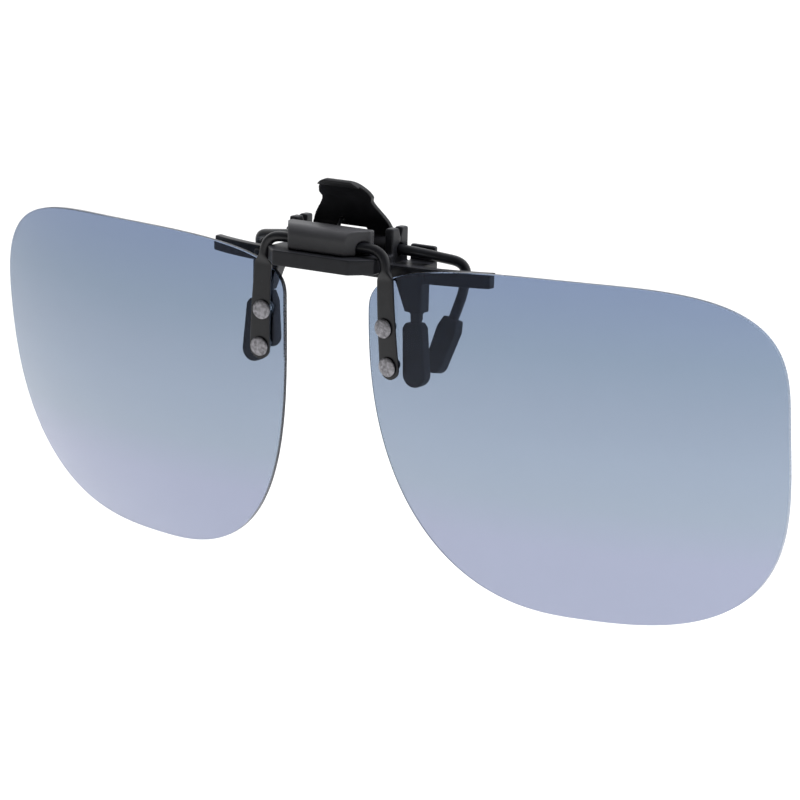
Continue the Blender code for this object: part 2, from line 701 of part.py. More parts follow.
def make_friction_spring():
    """A leaf bowed down onto the lens wire."""
    radius = (LEAF_HALF_LENGTH ** 2 + LEAF_RISE ** 2) / (2 * LEAF_RISE)
    low_z = FLIP_AXIS_Z + WIRE_RADIUS + GAP
    centre = (0.0, low_z + radius)
    half = math.degrees(math.asin(LEAF_HALF_LENGTH / radius))
    under = arc(centre, radius, -90 - half, -90 + half, 16)
    over = arc(centre, radius - LEAF_THICKNESS, -90 + half, -90 - half, 16)
    low_y = FLIP_AXIS_Y - LEAF_HALF_WIDTH
    high_y = FLIP_AXIS_Y + LEAF_HALF_WIDTH
    return outline_solid("friction_spring", under + over, low_y, high_y, "XZ")


def make_housing_screw(side, name):
    """A small screw driven up through the plate into the housing."""
    head_top = PLATE_BOTTOM_Z + SCREW_HEAD_HEIGHT
    profile = [
        (0.0, SCREW_TOP_Z),
        (SCREW_RADIUS * 0.7, SCREW_TOP_Z),
        (SCREW_RADIUS, SCREW_TOP_Z - 0.2 * MM),
        (SCREW_RADIUS, head_top),
        (SCREW_HEAD_RADIUS, head_top),
        (SCREW_HEAD_RADIUS, PLATE_BOTTOM_Z + 0.15 * MM),
        (SCREW_HEAD_RADIUS * 0.8, PLATE_BOTTOM_Z),
        (0.0, PLATE_BOTTOM_Z),
    ]
    screw = turned(name, profile, (side * SCREW_X, SCREW_Y, 0.0), (0, 0, 1), 16)
    driver_slot = box(
        "driver_slot",
        (side * SCREW_X - 1 * MM, SCREW_Y - 0.1 * MM, PLATE_BOTTOM_Z - 1 * MM),
        (side * SCREW_X + 1 * MM, SCREW_Y + 0.1 * MM, PLATE_BOTTOM_Z + 0.15 * MM),
    )
    return combine(screw, [driver_slot], "DIFFERENCE")


def make_front_sleeve():
    """A flat rubber sleeve with a round tip and a blind pocket for the claw's blade."""
    tip_z = SLEEVE_BOTTOM_Z + SLEEVE_LOW_HALF_WIDTH
    outline = [
        (CLAW_X + SLEEVE_TOP_HALF_WIDTH, SLEEVE_TOP_Z - 0.7 * MM),
        (CLAW_X + SLEEVE_TOP_HALF_WIDTH - 0.5 * MM, SLEEVE_TOP_Z),
        (CLAW_X - SLEEVE_TOP_HALF_WIDTH + 0.5 * MM, SLEEVE_TOP_Z),
        (CLAW_X - SLEEVE_TOP_HALF_WIDTH, SLEEVE_TOP_Z - 0.7 * MM),
    ]
    outline += arc((CLAW_X, tip_z), SLEEVE_LOW_HALF_WIDTH, 180, 360, 14)
    sleeve = outline_solid("front_sleeve_right", outline, SLEEVE_FRONT_Y, SLEEVE_REAR_Y, "XZ")
    round_edges(sleeve, SLEEVE_EDGE, 3)
    sleeve = bake(sleeve)
    pocket = box(
        "blade_pocket",
        (CLAW_NECK_X - BLADE_HALF_WIDTH - GAP, BLADE_FRONT_Y - GAP, BLADE_BOTTOM_Z - GAP),
        (CLAW_NECK_X + BLADE_HALF_WIDTH + GAP, BLADE_REAR_Y + GAP, SLEEVE_TOP_Z + 1 * MM),
    )
    return splayed(combine(sleeve, [pocket], "DIFFERENCE"))


def make_claw_wire():
    right = [*CLAW_WIRE_BENDS, CLAW_WIRE_TIP]
    left = [(-x, y, z) for x, y, z in reversed(right)]
    return wire_solid("claw_wire", filleted(left + right, CLAW_WIRE_SETBACK), WIRE_RADIUS)


def make_rear_sleeve():
    """A rubber sleeve on the rear claw wire's tip: widest below its shoulder, with a round tip."""
    tip = Vector(CLAW_WIRE_TIP)
    direction = (Vector(CLAW_WIRE_BENDS[-1]) - tip).normalized()
    bottom = -REAR_SLEEVE_OVERHANG
    top = bottom + REAR_SLEEVE_LENGTH
    outline = [
        (REAR_SLEEVE_SHOULDER_HALF_WIDTH, top - REAR_SLEEVE_SHOULDER_DROP),
        (REAR_SLEEVE_TOP_HALF_WIDTH, top),
        (-REAR_SLEEVE_TOP_HALF_WIDTH, top),
        (-REAR_SLEEVE_SHOULDER_HALF_WIDTH, top - REAR_SLEEVE_SHOULDER_DROP),
    ]
    outline += arc((0.0, bottom + REAR_SLEEVE_TIP_HALF_WIDTH), REAR_SLEEVE_TIP_HALF_WIDTH, 180, 360, 12)
    half = REAR_SLEEVE_THICKNESS / 2
    sleeve = outline_solid("rear_sleeve_right", outline, -half, half, "XZ")
    round_edges(sleeve, SLEEVE_EDGE * 2, 3)
    sleeve = bake(sleeve)
    bore_length = top + 1 * MM
    bore = cylinder("bore", (0.0, 0.0, bore_length / 2 - GAP), (0, 0, 1), WIRE_RADIUS + GAP, bore_length)
    sleeve = combine(sleeve, [bore], "DIFFERENCE")
    across = Vector((1.0, 0.0, 0.0))
    across = (across - direction * across.dot(direction)).normalized()
    turn = Matrix((across, direction.cross(across), direction)).transposed().to_4x4()
    sleeve.matrix_world = Matrix.Translation(tip) @ turn
    return bake(sleeve)


def lever_section_outline():
    """The lever's side outline: its middle line thickened on both sides."""
    path = smooth_curve(LEVER_SECTION)
    front = []
    rear = []
    for index, point in enumerate(path):
        before = path[max(index - 1, 0)]
        after = path[min(index + 1, len(path) - 1)]
        along = (after - before).normalized()
        across = Vector((-along.y, along.x)) * LEVER_THICKNESS / 2
        front.append(tuple(point + across))
        rear.append(tuple(point - across))
    return front + rear[::-1]


def make_thumb_lever():
    span = LEVER_EDGE[0][0] + 0.3 * MM
    lever = outline_solid("thumb_lever", lever_section_outline(), -span, span, "YZ")
    edge = [LEVER_EDGE[0]] + [tuple(point) for point in smooth_curve(LEVER_EDGE[1:], 4)]
    trim = outline_solid("lever_edge", mirrored_outline(edge), -8 * MM, 8 * MM, "XZ")
    lever = combine(lever, [trim], "INTERSECT")
    middle_x = (LEVER_BARREL_INNER_X + LEVER_BARREL_OUTER_X) / 2
    length = LEVER_BARREL_OUTER_X - LEVER_BARREL_INNER_X
    barrels = []
    for side in (-1, 1):
        centre = (side * middle_x, CLAMP_AXIS_Y, CLAMP_AXIS_Z)
        barrels.append(cylinder("barrel", centre, (1, 0, 0), LEVER_BARREL_RADIUS, length, 28))
    lever = combine(lever, barrels, "UNION")
    notch = box(
        "spring_notch",
        (-LEVER_NOTCH_HALF_WIDTH, CLAMP_AXIS_Y - 4 * MM, CLAMP_AXIS_Z - 4 * MM),
        (LEVER_NOTCH_HALF_WIDTH, CLAMP_AXIS_Y + 4 * MM, LEVER_NOTCH_TOP_Z),
    )
    axis = (0.0, CLAMP_AXIS_Y, CLAMP_AXIS_Z)
    bore = cylinder("wire_bore", axis, (1, 0, 0), WIRE_RADIUS + GAP, 20 * MM, 32)
    hole = cylinder("spring_hole", (LEVER_HOLE_X, 0.0, LEVER_HOLE_Z), (0, 1, 0), LEVER_HOLE_RADIUS, 8 * MM, 16)
    return combine(lever, [notch, bore, hole], "DIFFERENCE")


def make_torsion_spring():
    """A coil round the rear claw wire, one leg on the plate and one hooked in the lever."""
    points = [Vector((SPRING_HALF_LENGTH, SPRING_FRONT_LEG_Y, PLATE_TOP_Z + SPRING_WIRE_RADIUS + GAP))]
    first = math.radians(90)
    last = math.radians(-180 - 360 * (SPRING_TURNS - 1))
    count = SPRING_TURNS * SPRING_STEPS_PER_TURN
    for step in range(count + 1):
        part = step / count
        angle = first + (last - first) * part
        x = SPRING_HALF_LENGTH * (1 - 2 * part)
        y = CLAMP_AXIS_Y + SPRING_COIL_RADIUS * math.cos(angle)
        z = CLAMP_AXIS_Z + SPRING_COIL_RADIUS * math.sin(angle)
        points.append(Vector((x, y, z)))
    hook = Vector((LEVER_HOLE_X, LEVER_SECTION[1][0] - LEVER_THICKNESS, LEVER_HOLE_Z))
    points += [hook, hook + Vector((0.0, LEVER_THICKNESS * 0.8, 0.0))]
    return wire_solid("torsion_spring", points, SPRING_WIRE_RADIUS, 1)


def finish(item, material, collection, origin):
    """Give a part its material and collection, and set its origin on its joint's axis."""
    item.data.materials.clear()
    item.data.materials.append(material)
    item.data.transform(Matrix.Translation(-Vector(origin)))
    item.location = origin
    item.data.shade_smooth()
    item.data.set_sharp_from_angle(angle=math.radians(30))
    for holder in list(item.users_collection):
        holder.objects.unlink(item)
    collection.objects.link(item)


def build():
    clear_scene()
    materials = make_materials()
    collection = bpy.data.collections.new("clip_on_sunglasses")
    bpy.context.scene.collection.children.link(collection)
    fixed = (0.0, 0.0, 0.0)
    flip = (0.0, FLIP_AXIS_Y, FLIP_AXIS_Z)
    clamp = (0.0, CLAMP_AXIS_Y, CLAMP_AXIS_Z)

    finish(make_bridge_frame(), materials["black_metal"], collection, fixed)
    finish(make_housing(), materials["black_housing"], collection, fixed)
    finish(make_friction_spring(), materials["spring_steel"], collection, fixed)
    finish(make_torsion_spring(), materials["spring_steel"], collection, clamp)
    for side, label in ((-1, "left"), (1, "right")):
        finish(make_housing_screw(side, f"housing_screw_{label}"), materials["spring_steel"], collection, fixed)
    finish(make_lens_wire(), materials["black_metal"], collection, flip)
    finish(make_claw_wire(), materials["black_metal"], collection, clamp)
    finish(make_thumb_lever(), materials["black_metal"], collection, clamp)

    pairs = [
        (make_front_sleeve(), "black_rubber", fixed),
        (make_rear_sleeve(), "black_rubber", clamp),
        (make_lens(), "tinted_lens", flip),
    ]
    for level in RIVET_CENTRES:
        pairs.append((make_rivet(level), "bright_rivet", flip))
        pairs.append((make_washer(level), "clear_washer", flip))
    for right, material, origin in pairs:
        left = flipped(right, right.name.replace("right", "left"))
        finish(right, materials[material], collection, origin)
        finish(left, materials[material], collection, origin)


build()
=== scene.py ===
"""Looks of the flip-up clip-on sunglasses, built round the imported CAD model.

Axes: +X to the right, -Y to the front, +Z up, in metres.
"""
import json
import math

import bmesh
import bpy
from mathutils import Matrix, Vector


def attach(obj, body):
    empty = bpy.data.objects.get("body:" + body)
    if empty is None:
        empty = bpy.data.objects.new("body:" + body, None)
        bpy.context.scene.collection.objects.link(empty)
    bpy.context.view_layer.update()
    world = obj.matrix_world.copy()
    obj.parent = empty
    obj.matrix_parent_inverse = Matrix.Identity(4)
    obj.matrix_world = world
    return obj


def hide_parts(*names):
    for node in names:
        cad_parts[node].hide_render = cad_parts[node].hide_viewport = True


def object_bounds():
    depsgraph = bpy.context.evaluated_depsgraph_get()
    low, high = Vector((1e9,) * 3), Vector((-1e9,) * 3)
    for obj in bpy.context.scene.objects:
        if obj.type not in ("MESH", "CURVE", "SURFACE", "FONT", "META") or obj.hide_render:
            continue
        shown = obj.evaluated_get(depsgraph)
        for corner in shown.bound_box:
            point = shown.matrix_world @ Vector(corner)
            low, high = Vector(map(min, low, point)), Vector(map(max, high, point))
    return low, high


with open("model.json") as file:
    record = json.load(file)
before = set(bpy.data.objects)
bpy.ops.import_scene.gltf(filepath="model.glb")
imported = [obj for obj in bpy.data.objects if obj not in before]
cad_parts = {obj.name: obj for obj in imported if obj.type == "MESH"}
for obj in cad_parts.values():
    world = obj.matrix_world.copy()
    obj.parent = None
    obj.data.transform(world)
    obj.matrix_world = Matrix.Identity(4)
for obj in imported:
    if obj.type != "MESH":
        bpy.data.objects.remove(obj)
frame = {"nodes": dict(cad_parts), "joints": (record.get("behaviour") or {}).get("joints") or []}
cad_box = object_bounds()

MM = 0.001
GAP = 0.12 * MM
SIDES = ((-1, "left"), (1, "right"))

# Lens form, as in the CAD: four superellipse quadrants on a sphere, for the right lens.
LENS_NASAL = (7.04 * MM, 5.51 * MM)
LENS_TEMPLE = (65.79 * MM, -4.72 * MM)
LENS_TOP = (38.39 * MM, 13.42 * MM)
LENS_BOTTOM = (35.45 * MM, -35.77 * MM)
LENS_EXPONENTS = (3.41, 2.89, 2.50, 3.00)
LENS_SPHERE_RADIUS = 105.0 * MM
LENS_SPHERE_CENTRE = Vector((18.7 * MM, 99.34 * MM, 8.86 * MM))
LENS_THICKNESS = 0.80 * MM
LENS_EDGE = 0.10 * MM
LENS_RINGS = 22
QUADRANT_STEPS = 72

RIVET_CENTRES = {"upper": (10.22 * MM, 3.86 * MM), "lower": (10.79 * MM, -1.50 * MM)}
RIVET_HEAD_RADIUS = 1.38 * MM
RIVET_HEAD_HEIGHT = 0.36 * MM
RIVET_SHANK_RADIUS = 0.60 * MM
RIVET_TAIL_RADIUS = 0.85 * MM
RIVET_TAIL_HEIGHT = 0.35 * MM
RIVET_RIM_HEIGHT = 0.08 * MM
RIVET_HEAD_STEPS = 28
WASHER_RADIUS = 1.00 * MM
WASHER_THICKNESS = 0.35 * MM
WASHER_EDGE = 0.08 * MM

WIRE_RADIUS = 0.725 * MM
WIRE_SIDES = 40
LENS_WIRE_SPACING = 0.16 * MM
CLAW_WIRE_SPACING = 0.25 * MM
LENS_WIRE_BEND_X = 10.1 * MM
LENS_WIRE_BEND_SETBACK = 2.9 * MM
TAB_TOP_Z = 11.6 * MM
TAB_BOTTOM_Z = -3.4 * MM
TAB_TOP_X = 10.1 * MM
TAB_BOTTOM_X = 10.95 * MM
TAB_TOP_HALF_WIDTH = 1.35 * MM
TAB_TIP_HALF_WIDTH = 1.60 * MM
TAB_THICKNESS = 0.44 * MM
TAB_SHOULDER_TOP_Z = 11.9 * MM
TAB_SHOULDER_LOW_Z = 10.3 * MM
TAB_START_Z = TAB_TOP_Z - 0.45 * MM
TAB_END_Z = TAB_BOTTOM_Z + 0.02 * MM
TAB_STATIONS = 60
TAB_ROUNDNESS = 3.2
TAB_TIP_HALF_DEPTH = 0.12 * MM
TAB_NEAREST_X = 8.0 * MM

CLAW_WIRE_BENDS = (
    (9.4 * MM, 0.4 * MM, 13.8 * MM),
    (17.6 * MM, 3.4 * MM, 12.5 * MM),
    (16.9 * MM, 4.4 * MM, 8.6 * MM),
)
CLAW_WIRE_TIP = (14.1 * MM, 2.15 * MM, -1.9 * MM)
CLAW_WIRE_SETBACK = 1.9 * MM

SPRING_COIL_RADIUS = 1.17 * MM
SPRING_WIRE_RADIUS = 0.21 * MM
SPRING_TURNS = 5
SPRING_HALF_LENGTH = 1.5 * MM
SPRING_FRONT_LEG_Y = -2.9 * MM
SPRING_FRONT_LEG_Z = 13.58 * MM
SPRING_HOOK = (-1.5 * MM, 0.7 * MM, 16.9 * MM)
SPRING_HOOK_LENGTH = 0.68 * MM
SPRING_SPACING = 0.12 * MM
SPRING_STEPS_PER_TURN = 48

SCREW_X = 3.2 * MM
SCREW_Y = -6.98 * MM
SCREW_RADIUS = 0.34 * MM
SCREW_TOP_Z = 15.2 * MM
SCREW_HEAD_RADIUS = 0.75 * MM
SCREW_HEAD_HEIGHT = 0.42 * MM
SCREW_HEAD_Z = 11.1 * MM
SCREW_HEAD_CROWN = 0.2 * MM
SCREW_THREADS = 9
SCREW_PITCH = 0.32 * MM
SCREW_SLOT_REACH = 0.45 * MM
SCREW_SLOT_HALF_WIDTH = 0.09 * MM
SCREW_SLOT_DEPTH = 0.22 * MM

# Remeshing of the CAD shapes whose edges are rounded.
PLATE_VOXEL = 0.12 * MM
FINE_VOXEL = 0.10 * MM

# Edges sharper than these stay crisp. Lens faces that lie along the sphere are polished.
LENS_SHARP_ANGLE = math.radians(24)
TURNED_SHARP_ANGLE = math.radians(50)
SCREW_SHARP_ANGLE = math.radians(40)
LENS_POLISHED_FROM = 0.8

# Lens tint by height in millimetres, and the colour of the lens's reflections.
LENS_TINT = (
    (-36.0, (0.303, 0.328, 0.430)),
    (-25.0, (0.303, 0.328, 0.430)),
    (-17.8, (0.277, 0.324, 0.398)),
    (-10.7, (0.263, 0.313, 0.394)),
    (-3.6, (0.241, 0.291, 0.374)),
    (3.5, (0.213, 0.269, 0.355)),
    (14.0, (0.192, 0.246, 0.368)),
)
LENS_SHINE = (0.32, 0.35, 0.44, 1.0)

# Studio. The floor's own glow rises between two distances from the part.
WORLD_FRONT = 0.14
WORLD_BACK = 1.05
WORLD_RISE = (-0.45, 0.5)
WORLD_COLOUR = (0.98, 0.99, 1.0, 1.0)
FLOOR_DROP = 60.0 * MM
FLOOR_HALF_SIZE = 6.0
FLOOR_GLOW = 0.34
FLOOR_FAR_GLOW = 0.75
FLOOR_NEAR = 0.35
FLOOR_FAR = 1.1
CAMERA_ANGLES = (32.39, 13.15, 1.48)
CAMERA_TARGET = Vector((11.04 * MM, -2.5 * MM, -6.71 * MM))
CAMERA_DISTANCE = 0.4149
CAMERA_LENS = 135.0

JOINTS = {joint["name"]: joint for joint in frame["joints"]}
FLIP_AXIS = Vector(JOINTS["lens_flip"]["pos_m"])
CLAMP_AXIS = Vector(JOINTS["clamp_open"]["pos_m"])


# Small mesh tools


def link_mesh(name, mesh):
    item = bpy.data.objects.new(name, mesh)
    bpy.context.scene.collection.objects.link(item)
    return item


def mesh_from(name, verts, faces):
    mesh = bpy.data.meshes.new(name)
    mesh.from_pydata([tuple(point) for point in verts], [], faces)
    shape = bmesh.new()
    shape.from_mesh(mesh)
    bmesh.ops.recalc_face_normals(shape, faces=shape.faces)
    shape.to_mesh(mesh)
    shape.free()
    mesh.shade_smooth()
    return link_mesh(name, mesh)


def loft(name, rings):
    """A closed skin through rings of equal point counts, its end rings filled."""
    count = len(rings[0])
    verts = [point for ring in rings for point in ring]
    faces = []
    for index in range(len(rings) - 1):
        low = index * count
        high = low + count
        for side in range(count):
            other = (side + 1) % count
            faces.append((low + side, low + other, high + other, high + side))
    faces.append(tuple(range(count)))
    faces.append(tuple(range(len(verts) - count, len(verts))))
    return mesh_from(name, verts, faces)


def baked(item):
    """Replace an object's mesh by what its modifiers make of it."""
    depsgraph = bpy.context.evaluated_depsgraph_get()
    depsgraph.update()
    mesh = bpy.data.meshes.new_from_object(item.evaluated_get(depsgraph))
    item.modifiers.clear()
    item.data = mesh
    return item


def cut(item, cutters):
    for cutter in cutters:
        step = item.modifiers.new("cut", "BOOLEAN")
        step.operation = "DIFFERENCE"
        step.solver = "EXACT"
        step.object = cutter
        baked(item)
        bpy.data.objects.remove(cutter, do_unlink=True)
    return item


def place(centre, direction):
    turn = Vector(direction).to_track_quat("Z", "Y").to_matrix().to_4x4()
    return Matrix.Translation(centre) @ turn


def turned(name, profile, centre, direction, steps=96):
    """A turned solid of (radius, height) points; a profile that starts off the axis is a ring."""
    frame_matrix = place(centre, direction)
    rings = []
    for step in range(steps):
        angle = 2 * math.pi * step / steps
        cosine = math.cos(angle)
        sine = math.sin(angle)
        rings.append([frame_matrix @ Vector((r * cosine, r * sine, h)) for r, h in profile])
    count = len(profile)
    verts = [point for ring in rings for point in ring]
    faces = []
    closed = profile[0][0] > 1e-7
    last = count if closed else count - 1
    for step in range(steps):
        low = step * count
        high = ((step + 1) % steps) * count
        for index in range(last):
            other = (index + 1) % count
            faces.append((low + index, low + other, high + other, high + index))
    item = mesh_from(name, verts, faces)
    shape = bmesh.new()
    shape.from_mesh(item.data)
    bmesh.ops.remove_doubles(shape, verts=shape.verts, dist=1e-7)
    bmesh.ops.dissolve_degenerate(shape, edges=shape.edges, dist=1e-8)
    bmesh.ops.recalc_face_normals(shape, faces=shape.faces)
    shape.to_mesh(item.data)
    shape.free()
    return item


def filleted(points, setback, steps=16):
    corners = [Vector(point) for point in points]
    path = [corners[0]]
    for before, corner, after in zip(corners, corners[1:], corners[2:]):
        start = corner + (before - corner).normalized() * setback
        end = corner + (after - corner).normalized() * setback
        for step in range(steps + 1):
            part = step / steps
            path.append(start * (1 - part) ** 2 + corner * 2 * part * (1 - part) + end * part ** 2)
    path.append(corners[-1])
    return path


def resampled(points, spacing):
    """The same path with evenly spaced points."""
    lengths = [0.0]
    for start, end in zip(points, points[1:]):
        lengths.append(lengths[-1] + (end - start).length)
    count = max(int(round(lengths[-1] / spacing)), 2)
    path = []
    index = 0
    for step in range(count + 1):
        goal = lengths[-1] * step / count
        while index < len(points) - 2 and lengths[index + 1] < goal:
            index += 1
        span = max(lengths[index + 1] - lengths[index], 1e-12)
        path.append(points[index].lerp(points[index + 1], min((goal - lengths[index]) / span, 1.0)))
    return path


def relaxed(points, rounds):
    path = list(points)
    for _ in range(rounds):
        path = [path[0]] + [(a + b * 2 + c) / 4 for a, b, c in zip(path, path[1:], path[2:])] + [path[-1]]
    return path


def tube(name, points, radius, sides, cap=0.25):
    """A round wire along a path, with slightly rounded ends."""
    rings = []
    across = None
    for index, point in enumerate(points):
        along = (points[min(index + 1, len(points) - 1)] - points[max(index - 1, 0)]).normalized()
        if across is None:
            across = along.orthogonal().normalized()
        across = (across - along * across.dot(along)).normalized()
        up = along.cross(across)
        edge = min(index, len(points) - 1 - index)
        size = radius * (1 - cap if edge == 0 else 1.0)
        ring = []
        for side in range(sides):
            angle = 2 * math.pi * side / sides
            ring.append(point + (across * math.cos(angle) + up * math.sin(angle)) * size)
        rings.append(ring)
    return loft(name, rings)


def softened(node, name, voxel, rounds):
    """A copy of a CAD node with its edges rounded: remeshed finely, then smoothed."""
    item = link_mesh(name, frame["nodes"][node].data.copy())
    remesh = item.modifiers.new("remesh", "REMESH")
    remesh.mode = "VOXEL"
    remesh.voxel_size = voxel
    smooth = item.modifiers.new("smooth", "SMOOTH")
    smooth.factor = 0.5
    smooth.iterations = rounds
    baked(item)
    item.data.shade_smooth()
    return item


def finish_piece(item, body, slot, material, *nodes):
    item.data.materials.clear()
    item.data.materials.append(material)
    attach(item, body)
    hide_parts(*nodes)
    return item


def softened_piece(node, ending, voxel, rounds, body, slot, material):
    return finish_piece(softened(node, node + ending, voxel, rounds), body, slot, material, node)


# Materials


def tone(colour, factor):
    return tuple(part * factor for part in colour)


class Recipe:
    """Short calls that build one procedural material."""

    def __init__(self, name, roughness=0.5, metallic=0.0, specular=0.5):
        self.material = bpy.data.materials.new(name)
        self.material.use_nodes = True
        self.nodes = self.material.node_tree.nodes
        self.links = self.material.node_tree.links
        self.shader = self.nodes["Principled BSDF"]
        self.shader.inputs["Roughness"].default_value = roughness
        self.shader.inputs["Metallic"].default_value = metallic
        self.shader.inputs["Specular IOR Level"].default_value = specular
        self.where = self.nodes.new("ShaderNodeTexCoord").outputs["Object"]

    def scaled(self, scale):
        mapping = self.nodes.new("ShaderNodeMapping")
        mapping.inputs["Scale"].default_value = scale
        self.links.new(self.where, mapping.inputs["Vector"])
        return mapping.outputs["Vector"]

    def noise(self, scale, detail=3.0, where=None, distortion=0.0):
        node = self.nodes.new("ShaderNodeTexNoise")
        node.inputs["Scale"].default_value = scale
        node.inputs["Detail"].default_value = detail
        node.inputs["Distortion"].default_value = distortion
        self.links.new(where or self.where, node.inputs["Vector"])
        return node.outputs["Fac"]

    def cells(self, scale):
        node = self.nodes.new("ShaderNodeTexVoronoi")
        node.inputs["Scale"].default_value = scale
        self.links.new(self.where, node.inputs["Vector"])
        return node.outputs["Distance"]

    def span(self, value, low, high, to_low=0.0, to_high=1.0):
        node = self.nodes.new("ShaderNodeMapRange")
        self.links.new(value, node.inputs["Value"])
        node.inputs["From Min"].default_value = low
        node.inputs["From Max"].default_value = high
        node.inputs["To Min"].default_value = to_low
        node.inputs["To Max"].default_value = to_high
        return node.outputs["Result"]

    def maths(self, operation, first, second):
        node = self.nodes.new("ShaderNodeMath")
        node.operation = operation
        for socket, value in zip(node.inputs, (first, second)):
            if isinstance(value, (int, float)):
                socket.default_value = value
            else:
                self.links.new(value, socket)
        return node.outputs["Value"]

    def ramp(self, value, stops):
        node = self.nodes.new("ShaderNodeValToRGB")
        points = node.color_ramp.elements
        while len(points) < len(stops):
            points.new(0.5)
        for point, (position, colour) in zip(points, stops):
            point.position = position
            point.color = (*colour, 1.0)
        self.links.new(value, node.inputs["Fac"])
        return node.outputs["Color"]

    def mixed(self, factor, first, second):
        node = self.nodes.new("ShaderNodeMix")
        node.data_type = "RGBA"
        self.links.new(factor, node.inputs["Factor"])
        for socket, value in ((node.inputs[6], first), (node.inputs[7], second)):
            if isinstance(value, tuple):
                socket.default_value = (*value, 1.0)
            else:
                self.links.new(value, socket)
        return node.outputs[2]

    def bump(self, height, strength, distance, over=None):
        node = self.nodes.new("ShaderNodeBump")
        node.inputs["Strength"].default_value = strength
        node.inputs["Distance"].default_value = distance
        self.links.new(height, node.inputs["Height"])
        if over is not None:
            self.links.new(over, node.inputs["Normal"])
        return node.outputs["Normal"]

    def edges(self, low, high):
        """Where the surface turns sharply outwards."""
        return self.span(self.nodes.new("ShaderNodeNewGeometry").outputs["Pointiness"], low, high)

    def split(self, axis):
        node = self.nodes.new("ShaderNodeSeparateXYZ")
        self.links.new(self.where, node.inputs["Vector"])
        return node.outputs[axis]

    def set(self, **sockets):
        for name, value in sockets.items():
            socket = self.shader.inputs[name.replace("_", " ")]
            if hasattr(value, "links"):
                self.links.new(value, socket)
            else:
                socket.default_value = value
        return self.material


def painted_metal(name, colour, worn_and_highlight_colour, roughness):
    """Satin black enamel over metal: fine orange peel, uneven gloss, and edges lighter: partly rubbed paint,
    partly a painted highlight where the edges catch the light.
    """
    recipe = Recipe(name, specular=0.22)
    cloud = recipe.noise(420.0, 4.0)
    grain = recipe.noise(9000.0, 3.0)
    peel = recipe.noise(2600.0, 2.0)
    base = recipe.ramp(cloud, ((0.3, tone(colour, 0.8)), (0.7, tone(colour, 1.25))))
    # Lighter edges, found by pointiness in rubbed patches: partly real paint wear, partly a painted highlight
    # where edges catch the light.
    patches = recipe.span(recipe.noise(1500.0, 5.0), 0.42, 0.66)
    wear_and_edge_highlight = recipe.maths("MULTIPLY", recipe.edges(0.56, 0.66), patches)
    base = recipe.mixed(wear_and_edge_highlight, base, worn_and_highlight_colour)
    gloss = recipe.span(cloud, 0.25, 0.75, roughness - 0.06, roughness + 0.08)
    gloss = recipe.maths("SUBTRACT", gloss, recipe.maths("MULTIPLY", wear_and_edge_highlight, 0.10))
    normal = recipe.bump(peel, 0.05, 0.02 * MM)
    normal = recipe.bump(grain, 0.05, 0.006 * MM, normal)
    return recipe.set(Base_Color=base, Roughness=gloss, Normal=normal, Coat_Weight=0.04, Coat_Roughness=0.35)


def moulded_plastic(name, colour, roughness):
    """Moulded black nylon: fine spark-eroded grain with faint flow marks, and edges lighter: partly rubbed,
    partly a painted highlight.
    """
    recipe = Recipe(name, specular=0.32)
    flow = recipe.noise(260.0, 3.0, recipe.scaled((0.35, 1.0, 1.0)), 0.6)
    grain = recipe.noise(6500.0, 4.0)
    pits = recipe.cells(4200.0)
    base = recipe.ramp(flow, ((0.3, tone(colour, 0.82)), (0.7, tone(colour, 1.2))))
    # Lighter edges in patches: partly real wear, partly a painted highlight where edges catch the light.
    patches = recipe.span(recipe.noise(1800.0, 4.0), 0.45, 0.70)
    wear_and_edge_highlight = recipe.maths("MULTIPLY", recipe.edges(0.52, 0.60), patches)
    base = recipe.mixed(wear_and_edge_highlight, base, tone(colour, 3.2))
    gloss = recipe.span(grain, 0.3, 0.7, roughness - 0.07, roughness + 0.10)
    normal = recipe.bump(grain, 0.30, 0.018 * MM)
    normal = recipe.bump(pits, 0.12, 0.015 * MM, normal)
    return recipe.set(Base_Color=base, Roughness=gloss, Normal=normal)


def coated_wire(name, colour, roughness):
    """Black-coated wire: smooth, with faint drawing lines along it and a few bare specks."""
    recipe = Recipe(name, specular=0.30)
    cloud = recipe.noise(500.0, 3.0)
    lines = recipe.noise(3800.0, 2.0, recipe.scaled((0.25, 1.0, 0.35)))
    specks = recipe.span(recipe.noise(2300.0, 6.0), 0.66, 0.74)
    base = recipe.ramp(cloud, ((0.3, tone(colour, 0.8)), (0.7, tone(colour, 1.3))))
    base = recipe.mixed(specks, base, tone(colour, 4.0))
    gloss = recipe.span(lines, 0.3, 0.7, roughness - 0.06, roughness + 0.08)
    normal = recipe.bump(lines, 0.10, 0.015 * MM)
    return recipe.set(Base_Color=base, Roughness=gloss, Normal=normal, Coat_Weight=0.2, Coat_Roughness=0.28)


def soft_rubber(name, colour):
    """Matte rubber: very fine skin, a faint cloudy bloom and a little scattered dust."""
    recipe = Recipe(name, specular=0.10)
    bloom = recipe.noise(330.0, 5.0, distortion=0.4)
    skin = recipe.noise(7000.0, 3.0)
    dust = recipe.span(recipe.noise(3600.0, 6.0), 0.62, 0.72, 0.0, 0.12)
    base = recipe.ramp(bloom, ((0.3, tone(colour, 0.85)), (0.75, tone(colour, 1.3))))
    base = recipe.mixed(dust, base, tone(colour, 2.6))
    gloss = recipe.span(bloom, 0.3, 0.7, 0.58, 0.72)
    normal = recipe.bump(skin, 0.12, 0.012 * MM)
    return recipe.set(Base_Color=base, Roughness=gloss, Normal=normal, Sheen_Weight=0.04, Sheen_Roughness=0.5)


